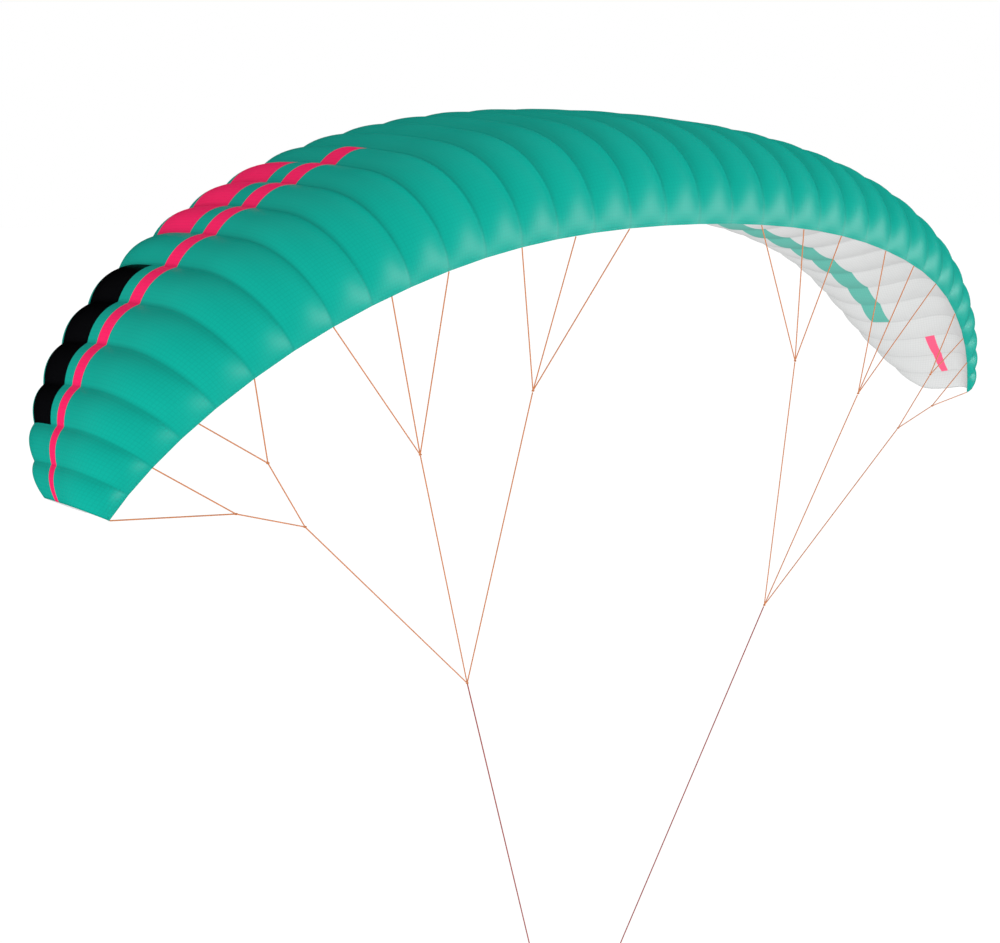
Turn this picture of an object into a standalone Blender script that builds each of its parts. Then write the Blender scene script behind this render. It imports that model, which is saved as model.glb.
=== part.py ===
"""Paraglider wing with its brake lines: two inflated skins on ribs, and the cascades of the brakes.

Metres, +X to the wing's right, +Y the way it flies, +Z up.  The origin is the crest of the centre rib,
on top of the upper skin.  The wing is held up in flight, with both brakes pulled well down.
"""
import bpy
import bmesh
import math
from mathutils import Vector

# ---------------------------------------------------------------- sizes
HALF_SPAN = 4.2            # centre to tip, straight across, at the trailing edge
CREST_Y = 1.063            # crest of the centre rib, ahead of the tips' trailing edge
CREST_Z = 2.343            # and above it
SHEET = 0.002              # cloth thickness
HEM_HALF = 0.0022          # half the thickness of the two skins together at the trailing edge
RIB_SHEET = 0.002
RIB_INSET = 0.0030         # the rib's edge lies this far inside the skins' outer face
TIP_INSET = 0.0015         # and so much more at the tips, where the skins turn more sharply
TIP_INSET_POWER = 12
TIP_RIB_SHIFT = 0.0014     # the tip rib closes the end from just inside it
GAP = 0.0003
HEM_GAP = 0.0005           # under the hem, which bends a little at each rib

ROOT_CHORD = 2.342         # along the section's middle line
THICKNESS = 0.2912          # of the chord, inflated
MAX_CAMBER = -0.0874
CAMBER_AT = 0.35
FULLNESS = 0.1362          # moves the thickest place back
NOSE_FULLNESS = 0.1682       # less so at the nose, which keeps it round
NOSE_SHARE = 0.208
BRAKE_FROM = 0.588         # the brakes bend the section down from here to the trailing edge
BRAKE_POWER = 1.5

UPPER_STRIPS = 3           # strips of a panel between two ribs
LOWER_STRIPS = 2
UPPER_BILLOW = 0.130       # crown of a cell between two ribs, as a share of its width
LOWER_BILLOW = 0.070
BILLOW_RAMP = 0.10         # share of the chord in which the crown grows from the hem

MOUTH_TOP = 0.015          # the air intake lies under the nose between these shares of the chord
MOUTH_OPEN = 0.052
MOUTH_SHUT = 0.0016        # metres left between the skins where the cells have no intake
SHUT_FROM = 0.74           # the intakes close over this share of the span
SHUT_TO = 0.86
UNDER_NOSE = 0.35          # one more row of the upper skin, this far from the nose to the intake

LINE_RADIUS = 0.0042
MAIN_RADIUS = 0.0046
KNOT_RADIUS = 0.011
KNOT_REACH = 0.45          # a line ends this share of the knot's radius short of its middle
MAIN_BEYOND = 1.19         # the main line runs this many times the way from its knot to LOW
END_KNOT_RADIUS = 0.014
END_KNOT_LENGTH = 0.034

# Trailing edge at each rib, centre to tip, in half spans from the tip's trailing edge
TRAILING_EDGE = [
    # x       y        z
    (0.0000, -0.1300, 0.3744),
    (0.0789, -0.1299, 0.3734),
    (0.1579, -0.1297, 0.3704),
    (0.2354, -0.1291, 0.3651),
    (0.3100, -0.1282, 0.3573),
    (0.3811, -0.1272, 0.3470),
    (0.4502, -0.1262, 0.3337),
    (0.5180, -0.1246, 0.3170),
    (0.5844, -0.1216, 0.2969),
    (0.6481, -0.1161, 0.2737),
    (0.7081, -0.1074, 0.2473),
    (0.7652, -0.0954, 0.2172),
    (0.8192, -0.0804, 0.1827),
    (0.8698, -0.0636, 0.1450),
    (0.9134, -0.0462, 0.1066),
    (0.9489, -0.0294, 0.0694),
    (0.9774, -0.0138, 0.0339),
    (1.0000, 0.0000, 0.0000),
]
TIP = len(TRAILING_EDGE) - 1

# Knots of the brake cascade on one side, in half spans from the tip's trailing edge
KNOTS = {
    # name    x        y        z
    "FAN_1": (0.3180, -0.0824, 0.1239),
    "FAN_2": (0.5287, -0.0675, 0.0450),
    "FAN_3A": (0.7840, -0.0529, 0.0597),
    "FAN_3B": (0.8253, -0.0330, -0.0095),
    "LINK": (0.7116, -0.0327, -0.0441),
    "MIDDLE": (0.3715, 0.0155, -0.3605),
    "LOW": (0.1443, 0.1150, -0.9275),
}

# Fans of lines: node, knot at its lower end, what each line runs up to (a rib number or a knot)
FANS = [
    # node       knot      upper ends
    ("fan_1", "FAN_1", (2, 3.5, 5)),
    ("fan_2", "FAN_2", (7, 8.5, 10)),
    ("fan_3a", "FAN_3A", (12, 13.5)),
    ("fan_3b", "FAN_3B", (15, 17)),
    ("link", "LINK", ("FAN_3A", "FAN_3B")),
    ("middle", "MIDDLE", ("FAN_1", "FAN_2", "LINK")),
]

# How the sections change from centre to tip: sums of amount * share ** power, the share of the
# span being 0 at the centre and 1 at the tip
SPAN_LAWS = {
    # law          (power, amount) ...
    "roll": ((1, 0.3812), (3, 0.8047), (7, -0.0899)),                                # radians
    "twist": ((0, 2.41), (2, -4.78), (4, -6.05), (12, -0.37)),                            # degrees
    "droop": ((0, 93.5), (2, 14.6), (6, 1.3), (16, 16.7)),                          # degrees
    "chord": ((0, 1.0), (2, -0.3978), (4, -0.0245), (10, -0.2551), (24, -0.0312)),       # of ROOT_CHORD
    "thickness": ((0, 1.0), (2, -0.1341), (6, -0.0062)),                                            # of THICKNESS
}
SECTION_TERMS = ((0.5, 0.2969), (1, -0.1260), (2, -0.3516), (3, 0.2843), (4, -0.1036))
SECTION_SCALE = 5.0        # makes the sum above half the thickness

# Places along the section, as shares of the chord from the nose
UPPER_STATIONS = (1.0, 0.965, 0.91, 0.85, 0.78, 0.70, 0.60, 0.48, 0.36, 0.25, 0.15, 0.07, 0.02, 0.0)
LOWER_STATIONS = (1.0, 0.965, 0.89, 0.80, 0.70, 0.58, 0.44, 0.30, 0.17)
CAMBER_STEPS = 120
NORMAL_STEP = 0.004        # share of the chord either side that gives a direction

# ---------------------------------------------------------------- clean start
for old in list(bpy.data.objects):
    bpy.data.objects.remove(old, do_unlink=True)

parts = bpy.data.collections.new("paraglider_wing")
cutters = bpy.data.collections.new("cutters")
bpy.context.scene.collection.children.link(parts)
bpy.context.scene.collection.children.link(cutters)


def material(name, colour, roughness):
    mat = bpy.data.materials.new(name)
    mat.use_nodes = True
    bsdf = mat.node_tree.nodes["Principled BSDF"]
    bsdf.inputs["Base Color"].default_value = (*colour, 1.0)
    bsdf.inputs["Roughness"].default_value = roughness
    bsdf.inputs["Metallic"].default_value = 0.0
    return mat


UPPER_CLOTH = material("upper_skin", (0.00, 0.42, 0.35), 0.45)
LOWER_CLOTH = material("lower_skin", (0.72, 0.73, 0.74), 0.50)
RIB_CLOTH = material("ribs", (0.80, 0.80, 0.80), 0.60)
BRAKE_CORD = material("brake_lines", (0.80, 0.22, 0.08), 0.60)
MAIN_CORD = material("main_lines", (0.62, 0.06, 0.05), 0.60)


# ---------------------------------------------------------------- the wing's form
def at(point):
    """A place given in half spans from the tips' trailing edge, in the part's own frame."""
    x, y, z = point
    return Vector((x * HALF_SPAN, y * HALF_SPAN - CREST_Y, z * HALF_SPAN - CREST_Z))


def span_share(rib):
    """How far out along the arch a rib stands, 0 at the centre and 1 at the tip."""
    run = [0.0]
    for a, b in zip(TRAILING_EDGE, TRAILING_EDGE[1:]):
        run.append(run[-1] + math.hypot(b[0] - a[0], b[2] - a[2]))
    return run[rib] / run[-1]


def power_sum(terms, value):
    return sum(amount * value ** power for power, amount in terms)


def law(name, share):
    return power_sum(SPAN_LAWS[name], share)


def smooth(value):
    """From 0 to 1 with a gentle start and end."""
    value = min(max(value, 0.0), 1.0)
    return value * value * (3 - 2 * value)


def half_thickness(x, thick):
    """Half the section's thickness at share x of the chord: round at the nose, full towards the back."""
    full = NOSE_FULLNESS + (FULLNESS - NOSE_FULLNESS) * smooth(x / NOSE_SHARE)
    return SECTION_SCALE * thick * power_sum(SECTION_TERMS, x ** (1.0 + full))


def camber_angle(x, bend):
    """Direction of the section's middle line: its camber, less the bend that the brakes pull in."""
    back = x >= CAMBER_AT
    scale = MAX_CAMBER / ((1 - CAMBER_AT) ** 2 if back else CAMBER_AT ** 2)
    slope = scale * (2 * CAMBER_AT - 2 * x)
    pulled = max(0.0, (x - BRAKE_FROM) / (1 - BRAKE_FROM)) ** BRAKE_POWER
    return math.atan(slope) - bend * pulled


class Rib:
    """One section of the wing: its place, its plane and its outline."""

    def __init__(self, number):
        s = span_share(number)
        roll = law("roll", s)
        twist = math.radians(law("twist", s))
        self.number = number
        self.share = s
        self.chord = ROOT_CHORD * law("chord", s)
        self.thick = THICKNESS * law("thickness", s)
        self.bend = math.radians(law("droop", s))
        self.edge = at(TRAILING_EDGE[number])
        out = Vector((math.sin(roll), 0.0, math.cos(roll)))
        forward = Vector((0, 1, 0))
        self.ahead = math.cos(twist) * forward + math.sin(twist) * out
        self.above = math.cos(twist) * out - math.sin(twist) * forward
        self.across = Vector((math.cos(roll), 0.0, -math.sin(roll)))
        self.line = [(0.0, 0.0)]
        for i in range(CAMBER_STEPS):
            turn = camber_angle((i + 0.5) / CAMBER_STEPS, self.bend)
            x, y = self.line[-1]
            self.line.append((x + math.cos(turn) / CAMBER_STEPS, y + math.sin(turn) / CAMBER_STEPS))

    def middle(self, x):
        i = min(int(x * CAMBER_STEPS), CAMBER_STEPS - 1)
        f = x * CAMBER_STEPS - i
        a = self.line[i]
        b = self.line[i + 1]
        return a[0] + (b[0] - a[0]) * f, a[1] + (b[1] - a[1]) * f

    def flat(self, x, side):
        """Outline point in the rib's plane, side +1 over and -1 under the middle line."""
        turn = camber_angle(x, self.bend)
        half = half_thickness(x, self.thick) * self.chord + HEM_HALF * x
        mx, my = self.middle(x)
        ex, ey = self.middle(1.0)
        u = (ex - mx) * self.chord + side * half * math.sin(turn)
        v = (my - ey) * self.chord + side * half * math.cos(turn)
        return u, v

    def lift(self, u, v):
        return self.edge + self.ahead * u + self.above * v

    def point(self, x, side):
        return self.lift(*self.flat(x, side))

    def normal(self, x, side):
        """Outward direction of the outline at a station, in the rib's plane."""
        if x == 0.0:
            return self.ahead.copy()
        low = max(x - NORMAL_STEP, 0.0)
        high = min(x + NORMAL_STEP, 1.0)
        a = Vector(self.flat(low, side))
        b = Vector(self.flat(high, side))
        t = (b - a).normalized() * side
        return (self.ahead * -t.y + self.above * t.x) * -1.0

    def mouth(self):
        """Shares of the chord at which the intake under the nose begins and ends."""
        shut = min(max((self.share - SHUT_FROM) / (SHUT_TO - SHUT_FROM), 0.0), 1.0)
        least = MOUTH_SHUT / self.chord
        return MOUTH_TOP, MOUTH_TOP + MOUTH_OPEN * (1 - shut) + least * shut


RIBS = [Rib(i) for i in range(TIP + 1)]


def upper_stations(rib):
    top, _ = rib.mouth()
    return [(x, 1) for x in UPPER_STATIONS] + [(top * UNDER_NOSE, -1), (top, -1)]


def lower_stations(rib):
    _, low = rib.mouth()
    return [(x, -1) for x in LOWER_STATIONS] + [(low, -1)]


def skin(name, stations, strips, billow, mat):
    """Half a skin as an open grid, crowned between the ribs, then mirrored and given its thickness."""
    over = stations(RIBS[0])[1][1] > 0
    columns = []
    for a, b in zip(RIBS, RIBS[1:]):
        for k in range(strips):
            q = k / strips
            column = []
            for (xa, side), (xb, _) in zip(stations(a), stations(b)):
                pa = a.point(xa, side)
                pb = b.point(xb, side)
                out = (a.normal(xa, side) * (1 - q) + b.normal(xb, side) * q).normalized()
                grow = min((1 - xa) / BILLOW_RAMP, 1.0)
                crown = billow * (pb - pa).length * grow * 4 * q * (1 - q)
                column.append(pa.lerp(pb, q) + out * crown)
            columns.append(column)
    last = RIBS[-1]
    columns.append([last.point(x, side) for x, side in stations(last)])

    bm = bmesh.new()
    grid = [[bm.verts.new(p) for p in column] for column in columns]
    for left, right in zip(grid, grid[1:]):
        for i in range(len(left) - 1):
            face = (left[i], right[i], right[i + 1], left[i + 1])
            bm.faces.new(face if over else reversed(face))
    for v in grid[0]:
        v.co.x = 0.0
    mesh = bpy.data.meshes.new(name)
    bm.to_mesh(mesh)
    bm.free()
    obj = bpy.data.objects.new(name, mesh)
    parts.objects.link(obj)
    mesh.materials.append(mat)
    mesh.shade_smooth()
    half = obj.modifiers.new("other_half", "MIRROR")
    half.use_clip = True
    half.merge_threshold = 0.0001
    cloth = obj.modifiers.new("cloth", "SOLIDIFY")
    cloth.thickness = SHEET
    cloth.offset = -1.0
    cloth.use_even_offset = True
    return obj


def inset(outline, distance):
    """A closed outline moved inwards by a distance, corner by corner."""
    moved = []
    count = len(outline)
    for i in range(count):
        a = Vector(outline[i - 1])
        b = Vector(outline[i])
        c = Vector(outline[(i + 1) % count])
        t1 = (b - a).normalized()
        t2 = (c - b).normalized()
        n1 = Vector((t1.y, -t1.x))
        n2 = Vector((t2.y, -t2.x))
        n = (n1 + n2).normalized()
        moved.append(b + n * (distance / max(n.dot(n1), 0.5)))
    return moved


def rib_plate(name, rib, side):
    """A rib as a flat plate inside the skins, from near the hem to the intake."""
    top, low = rib.mouth()
    stations = upper_stations(rib)[1:]
    if rib.share < SHUT_TO:
        stations += [(0.5 * (top + low), -1)]
    stations += list(reversed(lower_stations(rib)[1:]))
    outline = [rib.flat(x, way) for x, way in stations]
    more = TIP_INSET * rib.share ** TIP_INSET_POWER if rib.number < TIP else 0.0
    outline = inset(outline, RIB_INSET + more)
    shift = -TIP_RIB_SHIFT if rib.number == TIP else 0.0
    faces = []
    bm = bmesh.new()
    for half in (-0.5, 0.5):
        layer = []
        for u, v in outline:
            p = rib.lift(u, v) + rib.across * (half * RIB_SHEET + shift)
            layer.append(bm.verts.new((p.x * side, p.y, p.z)))
        faces.append(layer)
    bm.faces.new(faces[0])
    bm.faces.new(reversed(faces[1]))
    count = len(outline)
    for i in range(count):
        j = (i + 1) % count
        bm.faces.new((faces[0][j], faces[0][i], faces[1][i], faces[1][j]))
    bmesh.ops.triangulate(bm, faces=bm.faces[:])
    bmesh.ops.recalc_face_normals(bm, faces=bm.faces[:])
    mesh = bpy.data.meshes.new(name)
    bm.to_mesh(mesh)
    bm.free()
    obj = bpy.data.objects.new(name, mesh)
    parts.objects.link(obj)
    mesh.materials.append(RIB_CLOTH)
    return obj


# ---------------------------------------------------------------- the brake lines
def mirrored(p, side):
    return Vector((p.x * side, p.y, p.z))


def hem_place(rib_number):
    """Middle of the trailing edge at a rib, or between two ribs for a half number."""
    i = int(rib_number)
    j = min(i + 1, TIP)
    return RIBS[i].edge.lerp(RIBS[j].edge, rib_number - i)


def hem_run(rib_number):
    """Direction of the trailing edge there."""
    i = int(rib_number)
    a = RIBS[max(i - 1, 0)].edge if rib_number == i else RIBS[i].edge
    b = RIBS[min(i + 1, TIP)].edge
    return (b - a).normalized()


def hem_face(rib_number):
    """Direction across the hem there, from its lower to its upper corner."""
    i = int(rib_number)
    a = RIBS[i]
    b = RIBS[min(i + 1, TIP)]
    top = a.point(1.0, 1).lerp(b.point(1.0, 1), rib_number - i)
    foot = a.point(1.0, -1).lerp(b.point(1.0, -1), rib_number - i)
    return (top - foot).normalized()


def tube(name, start, end, radius):
    """A taut line as a tube with filled ends, made a mesh so that it can be joined to others."""
    data = bpy.data.curves.new(name, "CURVE")
    data.dimensions = "3D"
    data.bevel_depth = radius
    data.bevel_resolution = 2
    data.use_fill_caps = True
    spline = data.splines.new("POLY")
    spline.points.add(1)
    spline.points[0].co = (*start, 1.0)
    spline.points[1].co = (*end, 1.0)
    curve = bpy.data.objects.new(name, data)
    cutters.objects.link(curve)
    bpy.context.view_layer.update()
    graph = bpy.context.evaluated_depsgraph_get()
    mesh = bpy.data.meshes.new_from_object(curve.evaluated_get(graph))
    bm = bmesh.new()
    bm.from_mesh(mesh)
    bmesh.ops.remove_doubles(bm, verts=bm.verts[:], dist=0.00001)
    bmesh.ops.recalc_face_normals(bm, faces=bm.faces[:])
    bm.to_mesh(mesh)
    bm.free()
    obj = bpy.data.objects.new(name, mesh)
    obj.matrix_world = curve.matrix_world
    cutters.objects.link(obj)
    bpy.data.objects.remove(curve, do_unlink=True)
    obj.hide_render = True
    obj.display_type = "WIRE"
    return obj


def join(base, pieces):
    for i, piece in enumerate(pieces):
        mod = base.modifiers.new("join_%d" % i, "BOOLEAN")
        mod.operation = "UNION"
        mod.solver = "EXACT"
        mod.object = piece


def knot(name, place, radius, mat):
    """A small round knot."""
    bm = bmesh.new()
    bmesh.ops.create_uvsphere(bm, u_segments=12, v_segments=8, radius=radius)
    bmesh.ops.translate(bm, verts=bm.verts[:], vec=place)
    mesh = bpy.data.meshes.new(name)
    bm.to_mesh(mesh)
    bm.free()
    obj = bpy.data.objects.new(name, mesh)
    parts.objects.link(obj)
    mesh.materials.append(mat)
    return obj


def line_top(upper, lower, radius):
    """Where a line begins: just under the hem, or just under the knot that it hangs from."""
    if isinstance(upper, str):
        start = at(KNOTS[upper])
        return start + (lower - start).normalized() * (KNOT_RADIUS + GAP)
    start = hem_place(upper)
    way = (lower - start).normalized()
    run = hem_run(upper)
    lean = abs(way.dot(run))
    square = (way - run * way.dot(run)).normalized()
    hem = HEM_HALF * abs(hem_face(upper).dot(square))
    return start + way * ((hem + HEM_GAP + radius * lean) / math.sqrt(1 - lean ** 2))


def fan(name, knot_name, uppers, side):
    lower = at(KNOTS[knot_name])
    body = knot(name, mirrored(lower, side), KNOT_RADIUS, BRAKE_CORD)
    lines = []
    for i, upper in enumerate(uppers):
        top = line_top(upper, lower, LINE_RADIUS)
        foot = lower + (top - lower).normalized() * (KNOT_REACH * KNOT_RADIUS)
        lines.append(tube("%s_line_%d" % (name, i), mirrored(top, side), mirrored(foot, side), LINE_RADIUS))
    join(body, lines)
    return body


def main_line(name, side):
    """The main brake line with the knot at its lower end."""
    start = at(KNOTS["MIDDLE"])
    low = at(KNOTS["LOW"])
    way = (low - start).normalized()
    end = start + (low - start) * MAIN_BEYOND
    top = start + way * (KNOT_RADIUS + GAP)
    line = tube(name + "_line", mirrored(top, side), mirrored(end, side), MAIN_RADIUS)
    bm = bmesh.new()
    bmesh.ops.create_cone(bm, cap_ends=True, segments=16, radius1=END_KNOT_RADIUS,
                          radius2=END_KNOT_RADIUS, depth=END_KNOT_LENGTH)
    mesh = bpy.data.meshes.new(name)
    bm.to_mesh(mesh)
    bm.free()
    obj = bpy.data.objects.new(name, mesh)
    parts.objects.link(obj)
    mesh.materials.append(MAIN_CORD)
    obj.rotation_euler = mirrored(way, side).to_track_quat("Z", "Y").to_euler()
    obj.location = mirrored(end, side)
    join(obj, [line])
    return obj


# ---------------------------------------------------------------- build
skin("upper_skin", upper_stations, UPPER_STRIPS, UPPER_BILLOW, UPPER_CLOTH)
skin("lower_skin", lower_stations, LOWER_STRIPS, LOWER_BILLOW, LOWER_CLOTH)

rib_plate("rib_centre", RIBS[0], 1)
for rib in RIBS[1:]:
    rib_plate("rib_right_%02d" % rib.number, rib, 1)
    rib_plate("rib_left_%02d" % rib.number, rib, -1)

for label, side in (("right", 1), ("left", -1)):
    for node, knot_name, uppers in FANS:
        fan("%s_brake_%s" % (label, node), knot_name, uppers, side)
    main_line("%s_brake_main" % label, side)
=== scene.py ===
# %% [markdown]
# # A paraglider wing and its brake lines
# A paraglider is a wing of cloth. Two skins are sewn to thin cloth ribs, air blows in through slots
# under the nose, and the pressure fills the cells between the ribs until the wing stands by itself.
# The CAD model already has the real solids. This lesson gives them their looks, on the same frame:
# every piece is made in metres, in the part's own axes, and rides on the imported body.

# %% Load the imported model
import math

import bpy
from mathutils import Matrix, Vector


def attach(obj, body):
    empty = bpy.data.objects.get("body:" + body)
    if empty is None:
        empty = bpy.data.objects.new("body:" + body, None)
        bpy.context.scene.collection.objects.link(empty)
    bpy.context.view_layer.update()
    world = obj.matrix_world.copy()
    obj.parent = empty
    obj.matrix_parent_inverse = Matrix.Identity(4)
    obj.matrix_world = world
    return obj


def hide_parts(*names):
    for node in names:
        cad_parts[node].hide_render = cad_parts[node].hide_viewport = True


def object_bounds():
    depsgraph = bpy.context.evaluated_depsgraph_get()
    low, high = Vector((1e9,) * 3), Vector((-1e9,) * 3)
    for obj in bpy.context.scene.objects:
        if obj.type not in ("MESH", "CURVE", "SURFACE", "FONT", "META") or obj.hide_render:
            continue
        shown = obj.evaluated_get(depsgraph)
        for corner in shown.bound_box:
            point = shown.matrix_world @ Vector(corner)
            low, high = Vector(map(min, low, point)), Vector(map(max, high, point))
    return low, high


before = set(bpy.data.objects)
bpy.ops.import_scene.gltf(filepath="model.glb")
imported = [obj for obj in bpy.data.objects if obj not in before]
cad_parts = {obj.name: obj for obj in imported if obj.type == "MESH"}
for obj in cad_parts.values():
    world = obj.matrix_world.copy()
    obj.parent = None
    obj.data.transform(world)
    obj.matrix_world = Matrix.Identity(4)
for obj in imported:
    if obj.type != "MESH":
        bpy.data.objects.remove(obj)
cad_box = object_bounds()


def new_object(name, data):
    obj = bpy.data.objects.new(name, data)
    bpy.context.scene.collection.objects.link(obj)
    return obj


# %% [markdown]
# ## The camera
# The wing is seen from behind its left tip, from a little below its crest. A lens of about 58 mm
# on a 36 mm sensor keeps the near tip from swelling. The camera's axes are written as a turn about
# the vertical and a tilt, so that its horizon stays level.

# %% Camera
CAMERA_PLACE = Vector((-8.2531, -9.0913, -0.4743))
CAMERA_TURN = math.radians(40.8124)     # from +Y towards +X
CAMERA_TILT = math.radians(-10.3230)    # below the horizon
CAMERA_LENS = 57.6

camera_data = bpy.data.cameras.new("camera")
camera_data.lens = CAMERA_LENS
camera_data.sensor_width = 36.0
camera_data.sensor_fit = "HORIZONTAL"
camera_data.clip_end = 500.0
camera = new_object("camera", camera_data)
look = Vector((math.sin(CAMERA_TURN) * math.cos(CAMERA_TILT),
               math.cos(CAMERA_TURN) * math.cos(CAMERA_TILT),
               math.sin(CAMERA_TILT)))
aside = Vector((math.cos(CAMERA_TURN), -math.sin(CAMERA_TURN), 0.0))
upright = aside.cross(look)
axes = Matrix((aside, upright, -look)).transposed()
camera.matrix_world = Matrix.Translation(CAMERA_PLACE) @ axes.to_4x4()
bpy.context.scene.camera = camera
print("camera looks along", [round(v, 3) for v in look])

# %% [markdown]
# ## The wing's plan in numbers
# A sailmaker draws a wing rib by rib: where the rib's trailing edge lies, how long the rib is, how
# thick, and how far it leans and twists. The numbers are the same as the solids', so that the
# finer skins made here lie exactly where the solids are. Between the ribs everything is computed.

# %% Sizes shared with the solids
HALF_SPAN = 4.2           # metres from the middle to a tip, at the trailing edge
CREST_Y = 1.063           # the origin, on the centre rib's crest, ahead of the tips' hem
CREST_Z = 2.343           # and above it
SHEET = 0.002             # thickness of the cloth
HEM_HALF = 0.0022         # half of both skins together at the trailing edge
HEM_GAP = 0.0005          # between the hem and the top of a line
GAP = 0.0003              # between a knot and the top of a line
RIB_INSET = 0.0030        # from the skins' outer faces to a rib's edge
TIP_INSET = 0.0015        # and this much more near the tips
TIP_INSET_POWER = 12
TIP_RIB_SHIFT = 0.0014    # the last rib stands just inside the open end of the skins
ROOT_CHORD = 2.342        # from hem to nose along the middle line of the centre rib
THICKNESS = 0.2912        # shares of the chord from here on
MAX_CAMBER = -0.0874
CAMBER_AT = 0.35
FULLNESS = 0.1362         # moves the thickest place of the section back
NOSE_FULLNESS = 0.1682    # and less so ahead of the next share, which keeps the nose round
NOSE_SHARE = 0.208
BRAKE_FROM = 0.588        # from here to the hem the brakes bend the section down
BRAKE_POWER = 1.5
UPPER_BILLOW = 0.130      # crown of a cell, as a share of its width
LOWER_BILLOW = 0.070
BILLOW_RAMP = 0.10        # share of the chord over which the crown grows from the hem
MOUTH_TOP = 0.015         # the air slot lies under the nose between two shares of the chord
MOUTH_OPEN = 0.052
MOUTH_SHUT = 0.0016       # metres left between the skins where a cell has no slot
SHUT_FROM = 0.74          # the slots close between these shares of the half span
SHUT_TO = 0.86
CAMBER_STEPS = 120
NORMAL_STEP = 0.004
OVER = 1                  # the upper side of a section
UNDER = -1                # the lower side
print("centre chord", ROOT_CHORD, "m")

# %% Trailing edge at each rib, in half spans from the tip's own
TRAILING_EDGE = [
    # x       y        z
    (0.0000, -0.1300, 0.3744),
    (0.0789, -0.1299, 0.3734),
    (0.1579, -0.1297, 0.3704),
    (0.2354, -0.1291, 0.3651),
    (0.3100, -0.1282, 0.3573),
    (0.3811, -0.1272, 0.3470),
    (0.4502, -0.1262, 0.3337),
    (0.5180, -0.1246, 0.3170),
    (0.5844, -0.1216, 0.2969),
    (0.6481, -0.1161, 0.2737),
    (0.7081, -0.1074, 0.2473),
    (0.7652, -0.0954, 0.2172),
    (0.8192, -0.0804, 0.1827),
    (0.8698, -0.0636, 0.1450),
    (0.9134, -0.0462, 0.1066),
    (0.9489, -0.0294, 0.0694),
    (0.9774, -0.0138, 0.0339),
    (1.0000, 0.0000, 0.0000),
]
TIP = len(TRAILING_EDGE) - 1
print("half span", HALF_SPAN, "m,", TIP * 2, "cells")

# %% Laws along the span, and the section
# Each law sums amount * share ** power. Roll is in radians, twist and droop are in degrees, and
# chord and thickness are shares of the centre rib's.
SPAN_LAWS = {
    "roll": ((1, 0.3812), (3, 0.8047), (7, -0.0899)),
    "twist": ((0, 2.41), (2, -4.78), (4, -6.05), (12, -0.37)),
    "droop": ((0, 93.5), (2, 14.6), (6, 1.3), (16, 16.7)),
    "chord": ((0, 1.0), (2, -0.3978), (4, -0.0245), (10, -0.2551), (24, -0.0312)),
    "thickness": ((0, 1.0), (2, -0.1341), (6, -0.0062)),
}
SECTION_TERMS = ((0.5, 0.2969), (1, -0.1260), (2, -0.3516), (3, 0.2843), (4, -0.1036))
SECTION_SCALE = 5.0


def at(point):
    """A place given in half spans from the tips' trailing edge, in the part's own frame."""
    x, y, z = point
    return Vector((x * HALF_SPAN, y * HALF_SPAN - CREST_Y, z * HALF_SPAN - CREST_Z))


def power_sum(terms, value):
    return sum(amount * value ** power for power, amount in terms)


def smooth(value):
    value = min(max(value, 0.0), 1.0)
    return value * value * (3 - 2 * value)


def half_thickness(x, thick):
    full = NOSE_FULLNESS + (FULLNESS - NOSE_FULLNESS) * smooth(x / NOSE_SHARE)
    return SECTION_SCALE * thick * power_sum(SECTION_TERMS, x ** (1.0 + full))


def camber_angle(x, bend):
    """Direction of the section's middle line, with the bend that the pulled brakes put in."""
    back = x >= CAMBER_AT
    scale = MAX_CAMBER / ((1 - CAMBER_AT) ** 2 if back else CAMBER_AT ** 2)
    pulled = max(0.0, (x - BRAKE_FROM) / (1 - BRAKE_FROM)) ** BRAKE_POWER
    return math.atan(scale * (2 * CAMBER_AT - 2 * x)) - bend * pulled


print("laws for", ", ".join(SPAN_LAWS))


# %% [markdown]
# ## One rib
# A rib carries its own plane: a direction ahead, one above and one across. Its outline is laid
# round a bent middle line, so the brakes' pull shows as a droop of the rear third. The class gives
# any point of the outline and the direction straight out of it, on the right or the left wing.

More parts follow.
